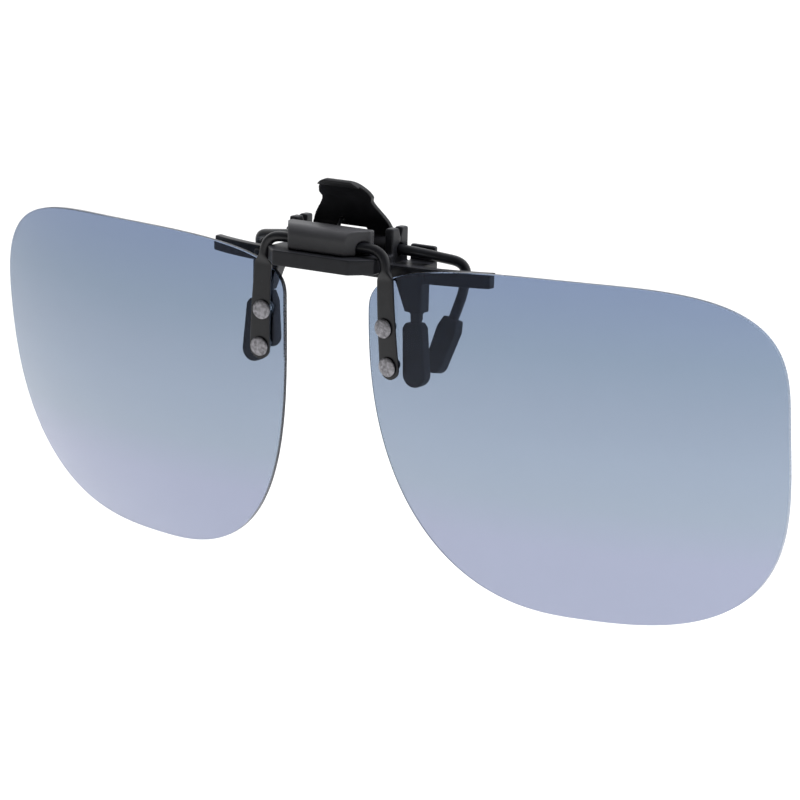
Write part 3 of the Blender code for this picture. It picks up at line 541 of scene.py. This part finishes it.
def bright_metal(name, colour, roughness):
    """Stamped grey metal with fine tool marks and tarnish in patches."""
    recipe = Recipe(name, metallic=1.0)
    tarnish = recipe.noise(2200.0, 6.0)
    marks = recipe.noise(5200.0, 5.0, recipe.scaled((1.0, 1.0, 0.3)))
    base = recipe.ramp(tarnish, ((0.36, tone(colour, 0.6)), (0.62, tone(colour, 1.25))))
    gloss = recipe.span(marks, 0.3, 0.7, roughness - 0.08, roughness + 0.12)
    normal = recipe.bump(marks, 0.30, 0.02 * MM)
    return recipe.set(Base_Color=base, Roughness=gloss, Normal=normal)


def spring_steel(name):
    """Dark steel with a fine grain and cloudy patches."""
    recipe = Recipe(name, metallic=1.0)
    patches = recipe.noise(1400.0, 4.0)
    grain = recipe.noise(8000.0, 3.0)
    base = recipe.ramp(patches, ((0.3, (0.020, 0.021, 0.025)), (0.65, (0.045, 0.045, 0.050))))
    gloss = recipe.span(grain, 0.3, 0.7, 0.36, 0.54)
    return recipe.set(Base_Color=base, Roughness=gloss, Normal=recipe.bump(grain, 0.15, 0.008 * MM))


def clear_plastic(name):
    """Clear nylon with a faint haze."""
    recipe = Recipe(name, specular=0.5)
    haze = recipe.noise(1200.0, 4.0)
    base = recipe.ramp(haze, ((0.3, (0.80, 0.83, 0.85)), (0.7, (0.92, 0.94, 0.95))))
    gloss = recipe.span(haze, 0.3, 0.7, 0.12, 0.28)
    return recipe.set(Base_Color=base, Roughness=gloss, Normal=recipe.bump(haze, 0.1, 0.02 * MM),
                      Specular_Tint=LENS_SHINE, Transmission_Weight=0.92, IOR=1.5)


def tinted_plastic(name, dull):
    """Graduated blue-grey tint, denser at the top: polished with faint smears, or dull if ground."""
    recipe = Recipe(name, specular=0.07)
    low, high = LENS_TINT[0][0] * MM, LENS_TINT[-1][0] * MM
    height = recipe.span(recipe.split("Z"), low, high)
    stops = [((z * MM - low) / (high - low), colour) for z, colour in LENS_TINT]
    if dull:
        gloss = recipe.span(recipe.noise(5000.0, 3.0), 0.3, 0.7, 0.22, 0.38)
    else:
        smear = recipe.noise(60.0, 4.0, recipe.scaled((1.0, 1.0, 2.2)), 0.8)
        gloss = recipe.span(smear, 0.35, 0.75, 0.0, 0.012)
    return recipe.set(Base_Color=recipe.ramp(height, stops), Roughness=gloss, Specular_Tint=LENS_SHINE,
                      Transmission_Weight=1.0, IOR=1.49)


# The lens's form


def lens_outline():
    quadrants = (
        (LENS_TOP, LENS_TEMPLE, LENS_EXPONENTS[0], 0),
        (LENS_TOP, LENS_NASAL, LENS_EXPONENTS[1], 90),
        (LENS_BOTTOM, LENS_NASAL, LENS_EXPONENTS[2], 180),
        (LENS_BOTTOM, LENS_TEMPLE, LENS_EXPONENTS[3], 270),
    )
    points = []
    for vertical, side, exponent, first in quadrants:
        centre = (vertical[0], side[1])
        across = abs(side[0] - centre[0])
        up = abs(vertical[1] - centre[1])
        for step in range(QUADRANT_STEPS):
            angle = math.radians(first + 90 * step / QUADRANT_STEPS)
            cosine = math.cos(angle)
            sine = math.sin(angle)
            x = centre[0] + across * math.copysign(abs(cosine) ** (2 / exponent), cosine)
            z = centre[1] + up * math.copysign(abs(sine) ** (2 / exponent), sine)
            points.append(Vector((x, z)))
    return evenly_spaced(points)


def evenly_spaced(points):
    closed = [point.to_3d() for point in points] + [points[0].to_3d()]
    length = sum((b - a).length for a, b in zip(closed, closed[1:]))
    return [point.to_2d() for point in resampled(closed, length / len(points))][:-1]


def lens_y(x, z, outward=0.0):
    radius = LENS_SPHERE_RADIUS + outward
    centre = LENS_SPHERE_CENTRE
    return centre.y - math.sqrt(radius ** 2 - (x - centre.x) ** 2 - (z - centre.z) ** 2)


def lens_normal(x, z):
    return (Vector((x, lens_y(x, z), z)) - LENS_SPHERE_CENTRE).normalized()


def inset(points, distance):
    moved = []
    for index, point in enumerate(points):
        along = (points[(index + 1) % len(points)] - points[index - 1]).normalized()
        moved.append(point + Vector((-along.y, along.x)) * distance)
    return moved


def mirrored(points, side):
    return [Vector((side * point.x, point.y, point.z)) for point in points]


def make_lens(side, name, clear, dull):
    """A lens plate with a softly ground rim, pierced for its two rivets."""
    outline = lens_outline()
    inner = inset(outline, LENS_EDGE)
    middle = Vector(((LENS_NASAL[0] + LENS_TEMPLE[0]) / 2, (LENS_TOP[1] + LENS_BOTTOM[1]) / 2))
    shrink = [(index + 1) / LENS_RINGS for index in range(LENS_RINGS)]

    def ring(points, depth):
        return mirrored([Vector((p.x, lens_y(p.x, p.y, -depth), p.y)) for p in points], side)

    def face(depth):
        return [ring([middle.lerp(point, part) for point in inner], depth) for part in shrink]

    rim = [ring(outline, LENS_EDGE), ring(outline, LENS_THICKNESS - LENS_EDGE)]
    item = loft(name, face(0.0) + rim + face(LENS_THICKNESS)[::-1])
    shape = bmesh.new()
    shape.from_mesh(item.data)
    bmesh.ops.poke(shape, faces=[polygon for polygon in shape.faces if len(polygon.verts) > 8])
    shape.to_mesh(item.data)
    shape.free()
    radius = RIVET_SHANK_RADIUS + GAP
    reach = 2 * MM
    bore = [(0, -reach), (radius, -reach), (radius, reach), (0, reach)]
    holes = [turned("hole", bore, *rivet_frame(level, side), 48) for level in RIVET_CENTRES]
    item.data.shade_smooth()
    item = cut(item, holes)
    item.data.materials.clear()
    item.data.materials.append(clear)
    item.data.materials.append(dull)
    item.data.set_sharp_from_angle(angle=LENS_SHARP_ANGLE)
    sphere = mirrored([LENS_SPHERE_CENTRE], side)[0]
    for polygon in item.data.polygons:
        outward = polygon.normal.dot((polygon.center - sphere).normalized())
        polygon.material_index = 0 if abs(outward) > LENS_POLISHED_FROM else 1
    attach(item, "lenses")
    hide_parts(name.replace("_plate", ""))
    return item


def rivet_frame(level, side):
    x, z = RIVET_CENTRES[level]
    normal = lens_normal(x, z)
    return Vector((side * x, lens_y(x, z), z)), Vector((side * normal.x, normal.y, normal.z))


# Wires


def smooth_step(value, low, high):
    part = min(max((value - low) / (high - low), 0.0), 1.0)
    return part * part * (3 - 2 * part)


def tab_half_width(z):
    tip_centre = TAB_BOTTOM_Z + TAB_TIP_HALF_WIDTH
    if z >= tip_centre:
        part = (z - tip_centre) / (TAB_SHOULDER_LOW_Z - tip_centre)
        return TAB_TIP_HALF_WIDTH + (TAB_TOP_HALF_WIDTH - TAB_TIP_HALF_WIDTH) * min(part, 1.0)
    drop = min(tip_centre - z, TAB_TIP_HALF_WIDTH * 0.9999)
    return math.sqrt(TAB_TIP_HALF_WIDTH ** 2 - drop ** 2)


def half_lens_wire():
    """Stations of the right half, from the middle out and down to the tab's tip."""
    corner = Vector((LENS_WIRE_BEND_X, FLIP_AXIS.y, FLIP_AXIS.z))
    tab_surface = GAP + TAB_THICKNESS / 2
    middle = Vector((0.0, FLIP_AXIS.y, FLIP_AXIS.z))
    shoulder = Vector((TAB_TOP_X, lens_y(TAB_TOP_X, TAB_START_Z, tab_surface), TAB_START_Z))
    path = filleted([middle, corner, shoulder], LENS_WIRE_BEND_SETBACK)
    for step in range(1, TAB_STATIONS + 1):
        z = TAB_START_Z + (TAB_END_Z - TAB_START_Z) * step / TAB_STATIONS
        x = TAB_TOP_X + (TAB_BOTTOM_X - TAB_TOP_X) * (TAB_TOP_Z - z) / (TAB_TOP_Z - TAB_BOTTOM_Z)
        path.append(Vector((x, lens_y(x, z, tab_surface), z)))
    path = relaxed(resampled(path, LENS_WIRE_SPACING), 8)
    fine = []
    for start, end in zip(path, path[1:]):
        fine.append(start)
        if start.z < TAB_BOTTOM_Z + TAB_TIP_HALF_WIDTH:
            fine.append(start.lerp(end, 1 / 3))
            fine.append(start.lerp(end, 2 / 3))
    tip = path[-1]
    fine += [path[-2].lerp(tip, 0.85), path[-2].lerp(tip, 0.96), tip]
    return fine


def make_lens_wire(material):
    """The round wire through the housing, its two ends flattened against the lenses."""
    right = half_lens_wire()
    path = [Vector((-p.x, p.y, p.z)) for p in reversed(right[1:])] + right
    rings = []
    for index, point in enumerate(path):
        along = (path[min(index + 1, len(path) - 1)] - path[max(index - 1, 0)]).normalized()
        flat = 1 - smooth_step(point.z, TAB_SHOULDER_LOW_Z, TAB_SHOULDER_TOP_Z)
        flat = flat if abs(point.x) > TAB_NEAREST_X else 0.0
        side = math.copysign(1.0, point.x)
        normal = lens_normal(abs(point.x), min(point.z, TAB_TOP_Z))
        normal = Vector((side * normal.x, normal.y, normal.z))
        normal = Vector((0, -1, 0)).lerp(normal, flat)
        across = along.cross(normal).normalized()
        normal = across.cross(along).normalized()
        half_width = WIRE_RADIUS + (tab_half_width(point.z) - WIRE_RADIUS) * flat
        half_depth = WIRE_RADIUS + (TAB_THICKNESS / 2 - WIRE_RADIUS) * flat
        if half_width < half_depth:
            half_depth = max(half_width, TAB_TIP_HALF_DEPTH)
        power = 2 / (2 + TAB_ROUNDNESS * flat)
        ring = []
        for side_index in range(WIRE_SIDES):
            angle = 2 * math.pi * side_index / WIRE_SIDES
            u = math.copysign(abs(math.cos(angle)) ** power, math.cos(angle))
            v = math.copysign(abs(math.sin(angle)) ** power, math.sin(angle))
            ring.append(point + across * u * half_width + normal * v * half_depth)
        rings.append(ring)
    item = loft("lens_wire_bar", rings)
    return finish_piece(item, "lenses", "black_wire", material, "lens_wire")


def make_claw_wire(material):
    right = [*CLAW_WIRE_BENDS, CLAW_WIRE_TIP]
    left = [(-x, y, z) for x, y, z in reversed(right)]
    path = relaxed(resampled(filleted(left + right, CLAW_WIRE_SETBACK), CLAW_WIRE_SPACING), 6)
    item = tube("claw_wire_bar", path, WIRE_RADIUS, WIRE_SIDES)
    return finish_piece(item, "claws", "black_wire", material, "claw_wire")


def make_torsion_coil(material):
    points = [Vector((SPRING_HALF_LENGTH, SPRING_FRONT_LEG_Y, SPRING_FRONT_LEG_Z))]
    first = math.radians(90)
    last = math.radians(-180 - 360 * (SPRING_TURNS - 1))
    count = SPRING_TURNS * SPRING_STEPS_PER_TURN
    for step in range(count + 1):
        part = step / count
        angle = first + (last - first) * part
        x = SPRING_HALF_LENGTH * (1 - 2 * part)
        y = CLAMP_AXIS.y + SPRING_COIL_RADIUS * math.cos(angle)
        z = CLAMP_AXIS.z + SPRING_COIL_RADIUS * math.sin(angle)
        points.append(Vector((x, y, z)))
    hook = Vector(SPRING_HOOK)
    points += [hook, hook + Vector((0.0, SPRING_HOOK_LENGTH, 0.0))]
    path = relaxed(resampled(points, SPRING_SPACING), 2)
    item = tube("torsion_coil", path, SPRING_WIRE_RADIUS, 16, 0.3)
    return finish_piece(item, "frame", "spring_steel", material, "torsion_spring")


# Turned fasteners


def rivet_profile():
    """A shallow crowned head with a rolled rim, its shank and its flared tail."""
    base = 2 * GAP + TAB_THICKNESS
    tail = -(LENS_THICKNESS + 2 * GAP + WASHER_THICKNESS)
    profile = [(0.0, base + RIVET_HEAD_HEIGHT)]
    for step in range(1, RIVET_HEAD_STEPS + 1):
        angle = math.pi / 2 * step / RIVET_HEAD_STEPS
        radius = RIVET_HEAD_RADIUS * math.sin(angle) ** 0.80
        crown = (RIVET_HEAD_HEIGHT - RIVET_RIM_HEIGHT) * math.cos(angle) ** 0.62
        profile.append((radius, base + RIVET_RIM_HEIGHT + crown))
    profile.append((RIVET_HEAD_RADIUS * 0.985, base + RIVET_RIM_HEIGHT / 2))
    profile.append((RIVET_HEAD_RADIUS * 0.95, base))
    profile += [(RIVET_SHANK_RADIUS, base), (RIVET_SHANK_RADIUS, tail)]
    profile += [(RIVET_TAIL_RADIUS * 0.95, tail), (RIVET_TAIL_RADIUS, tail - 0.06 * MM)]
    for out, down in ((0.93, 0.7), (0.7, 1.0), (0.3, 0.75), (0.0, 0.7)):
        profile.append((RIVET_TAIL_RADIUS * out, tail - RIVET_TAIL_HEIGHT * down))
    return profile


def make_rivet(level, side, label, material):
    centre, normal = rivet_frame(level, side)
    item = turned(f"rivet_{level}_{label}_turned", rivet_profile(), centre, normal)
    item.data.set_sharp_from_angle(angle=TURNED_SHARP_ANGLE)
    return finish_piece(item, "lenses", "bright_rivet", material, f"rivet_{level}_{label}")


def make_washer(level, side, label, material):
    centre, normal = rivet_frame(level, side)
    top = -(LENS_THICKNESS + GAP)
    bottom = top - WASHER_THICKNESS
    bore = RIVET_SHANK_RADIUS + GAP
    inner = WASHER_RADIUS - WASHER_EDGE
    corner = WASHER_EDGE * 0.3
    profile = [(bore, bottom), (bore, top), (inner, top), (WASHER_RADIUS - corner, top - corner)]
    profile += [(WASHER_RADIUS, top - WASHER_EDGE), (WASHER_RADIUS, bottom + WASHER_EDGE)]
    profile += [(WASHER_RADIUS - corner, bottom + corner), (inner, bottom)]
    item = turned(f"washer_{level}_{label}_turned", profile, centre, normal, 72)
    item.data.set_sharp_from_angle(angle=TURNED_SHARP_ANGLE)
    return finish_piece(item, "lenses", "clear_washer", material, f"washer_{level}_{label}")


def make_screw(side, label, material):
    """A small pan-head screw, cross-slotted, driven up into the housing."""
    head_top = SCREW_HEAD_Z + SCREW_HEAD_HEIGHT
    profile = [(0.0, SCREW_TOP_Z), (SCREW_RADIUS * 0.7, SCREW_TOP_Z), (SCREW_RADIUS, SCREW_TOP_Z - 0.2 * MM)]
    for turn in range(SCREW_THREADS):
        z = SCREW_TOP_Z - 0.3 * MM - turn * SCREW_PITCH
        profile += [(SCREW_RADIUS, z), (SCREW_RADIUS * 0.78, z - SCREW_PITCH * 0.5)]
    profile += [(SCREW_RADIUS, head_top + 0.1 * MM), (SCREW_RADIUS, head_top), (SCREW_HEAD_RADIUS, head_top)]
    steps = 10
    for step in range(steps + 1):
        angle = math.pi / 2 * step / steps
        radius = SCREW_HEAD_RADIUS * math.cos(angle) ** 0.5 if step < steps else 0.0
        profile.append((radius, SCREW_HEAD_Z + SCREW_HEAD_CROWN * (1 - math.sin(angle))))
    name = f"housing_screw_{label}_turned"
    item = turned(name, profile, (side * SCREW_X, SCREW_Y, 0.0), (0, 0, 1), 64)
    arms = []
    slot = (SCREW_SLOT_REACH, SCREW_SLOT_HALF_WIDTH)
    for reach_x, reach_y in (slot, slot[::-1]):
        low = (side * SCREW_X - reach_x, SCREW_Y - reach_y, SCREW_HEAD_Z - 0.5 * MM)
        high = (side * SCREW_X + reach_x, SCREW_Y + reach_y, SCREW_HEAD_Z + SCREW_SLOT_DEPTH)
        arms.append(block("arm", low, high))
    item = cut(item, arms)
    item.data.shade_smooth()
    item.data.set_sharp_from_angle(angle=SCREW_SHARP_ANGLE)
    return finish_piece(item, "frame", "spring_steel", material, f"housing_screw_{label}")


def block(name, low, high):
    shape = bmesh.new()
    bmesh.ops.create_cube(shape, size=1.0)
    low, high = Vector(low), Vector(high)
    for vertex in shape.verts:
        vertex.co = Vector([low[i] + (vertex.co[i] + 0.5) * (high[i] - low[i]) for i in range(3)])
    mesh = bpy.data.meshes.new(name)
    shape.to_mesh(mesh)
    shape.free()
    return link_mesh(name, mesh)


# The set


def make_floor():
    """A wide pale floor, well below the part, with a glow of its own that is stronger far out."""
    low = cad_box[0].z - FLOOR_DROP
    half = FLOOR_HALF_SIZE
    corners = [(-half, -half, low), (half, -half, low), (half, half, low), (-half, half, low)]
    floor = mesh_from("studio_floor", corners, [(0, 1, 2, 3)])
    recipe = Recipe("studio_floor", roughness=0.9, specular=0.1)
    pale = recipe.ramp(recipe.noise(3.0, 2.0), ((0.3, (0.50, 0.50, 0.50)), (0.7, (0.52, 0.52, 0.52))))
    squares = [recipe.maths("MULTIPLY", part, part) for part in (recipe.split("X"), recipe.split("Y"))]
    away = recipe.maths("ADD", *squares)
    glow = recipe.span(away, FLOOR_NEAR ** 2, FLOOR_FAR ** 2, FLOOR_GLOW, FLOOR_FAR_GLOW)
    recipe.set(Base_Color=pale, Emission_Color=(1.0, 1.0, 1.0, 1.0), Emission_Strength=glow)
    floor.data.materials.append(recipe.material)


def make_world():
    """Surroundings that light the part mostly from behind.

    They are evenly bright to the camera and through the lenses, for a plain white background.
    """
    world = bpy.data.worlds.new("studio")
    bpy.context.scene.world = world
    world.use_nodes = True
    nodes = world.node_tree.nodes
    links = world.node_tree.links
    where = nodes.new("ShaderNodeTexCoord")
    apart = nodes.new("ShaderNodeSeparateXYZ")
    links.new(where.outputs["Generated"], apart.inputs["Vector"])
    depth = nodes.new("ShaderNodeMapRange")
    depth.inputs["From Min"].default_value = WORLD_RISE[0]
    depth.inputs["From Max"].default_value = WORLD_RISE[1]
    depth.inputs["To Min"].default_value = WORLD_FRONT
    depth.inputs["To Max"].default_value = WORLD_BACK
    links.new(apart.outputs["Y"], depth.inputs["Value"])
    path = nodes.new("ShaderNodeLightPath")
    seen = nodes.new("ShaderNodeMath")
    seen.operation = "MAXIMUM"
    links.new(path.outputs["Is Camera Ray"], seen.inputs[0])
    links.new(path.outputs["Is Transmission Ray"], seen.inputs[1])
    strength = nodes.new("ShaderNodeMix")
    links.new(seen.outputs["Value"], strength.inputs["Factor"])
    links.new(depth.outputs["Result"], strength.inputs["A"])
    strength.inputs["B"].default_value = WORLD_BACK
    links.new(strength.outputs["Result"], nodes["Background"].inputs["Strength"])
    nodes["Background"].inputs["Color"].default_value = WORLD_COLOUR


def make_lamp(name, place_at, size, power):
    """A soft disc lamp aimed at the origin, not seen in reflections or through the lenses."""
    lamp = bpy.data.lights.new(name, "AREA")
    lamp.shape = "DISK"
    lamp.size = size
    lamp.energy = power
    item = bpy.data.objects.new(name, lamp)
    bpy.context.scene.collection.objects.link(item)
    item.visible_glossy = False
    item.visible_transmission = False
    item.location = place_at
    item.rotation_mode = "QUATERNION"
    item.rotation_quaternion = (-Vector(place_at)).to_track_quat("-Z", "Y")


def make_camera():
    azimuth, elevation, roll = (math.radians(value) for value in CAMERA_ANGLES)
    flat = math.cos(elevation)
    back = Vector((math.sin(azimuth) * flat, -math.cos(azimuth) * flat, math.sin(elevation)))
    level = (-back).cross(Vector((0, 0, 1))).normalized()
    upright = level.cross(-back)
    right = level * math.cos(roll) + upright * math.sin(roll)
    up = -level * math.sin(roll) + upright * math.cos(roll)
    data = bpy.data.cameras.new("camera")
    data.lens = CAMERA_LENS
    data.sensor_width = 36.0
    data.clip_start = 0.01
    camera = bpy.data.objects.new("camera", data)
    bpy.context.scene.collection.objects.link(camera)
    turn = Matrix((right, up, back)).transposed().to_4x4()
    turn.translation = CAMERA_TARGET + back * CAMERA_DISTANCE
    camera.matrix_world = turn
    bpy.context.scene.camera = camera


def make_studio():
    make_camera()
    make_floor()
    make_world()
    make_lamp("top_softbox", place_at=(0.10, 0.22, 0.75), size=0.55, power=11.0)
    make_lamp("rear_right_softbox", place_at=(0.45, 0.60, 0.25), size=0.40, power=3.0)
    bpy.context.scene.view_settings.view_transform = "Standard"


def make_pieces():
    metal = painted_metal("black_metal_paint", (0.013, 0.0135, 0.0165), (0.05, 0.051, 0.056), 0.40)
    # A darker copy of the black metal paint for the thumb lever: painted shade, for a lever body that faces
    # down and away from the light.
    shaded_lever_paint = painted_metal("shaded_lever_paint", (0.008, 0.008, 0.0095), (0.05, 0.05, 0.055), 0.42)
    housing = moulded_plastic("housing_nylon", (0.042, 0.042, 0.046), 0.44)
    wire = coated_wire("wire_coating", (0.005, 0.0053, 0.0072), 0.36)
    rubber = soft_rubber("sleeve_rubber", (0.010, 0.0115, 0.016))
    rivet = bright_metal("rivet_metal", (0.24, 0.235, 0.25), 0.36)
    steel = spring_steel("spring_steel_wire")
    washer = clear_plastic("washer_nylon")
    clear = tinted_plastic("lens_tint", False)
    dull = tinted_plastic("lens_ground_edge", True)

    softened_piece("bridge_frame", "_painted", PLATE_VOXEL, 5, "frame", "black_metal", metal)
    softened_piece("hinge_housing", "_moulded", FINE_VOXEL, 6, "frame", "black_housing", housing)
    softened_piece("thumb_lever", "_painted", FINE_VOXEL, 7, "claws", "black_metal", shaded_lever_paint)
    frame["nodes"]["friction_spring"].data.materials.clear()
    frame["nodes"]["friction_spring"].data.materials.append(steel)
    make_lens_wire(wire)
    make_claw_wire(wire)
    make_torsion_coil(steel)
    for side, label in SIDES:
        make_screw(side, label, steel)
        for end, body in (("front", "frame"), ("rear", "claws")):
            node = f"{end}_sleeve_{label}"
            softened_piece(node, "_rubber", FINE_VOXEL, 10, body, "black_rubber", rubber)
        make_lens(side, f"lens_{label}_plate", clear, dull)
        for level in RIVET_CENTRES:
            make_rivet(level, side, label, rivet)
            make_washer(level, side, label, washer)


make_studio()
make_pieces()
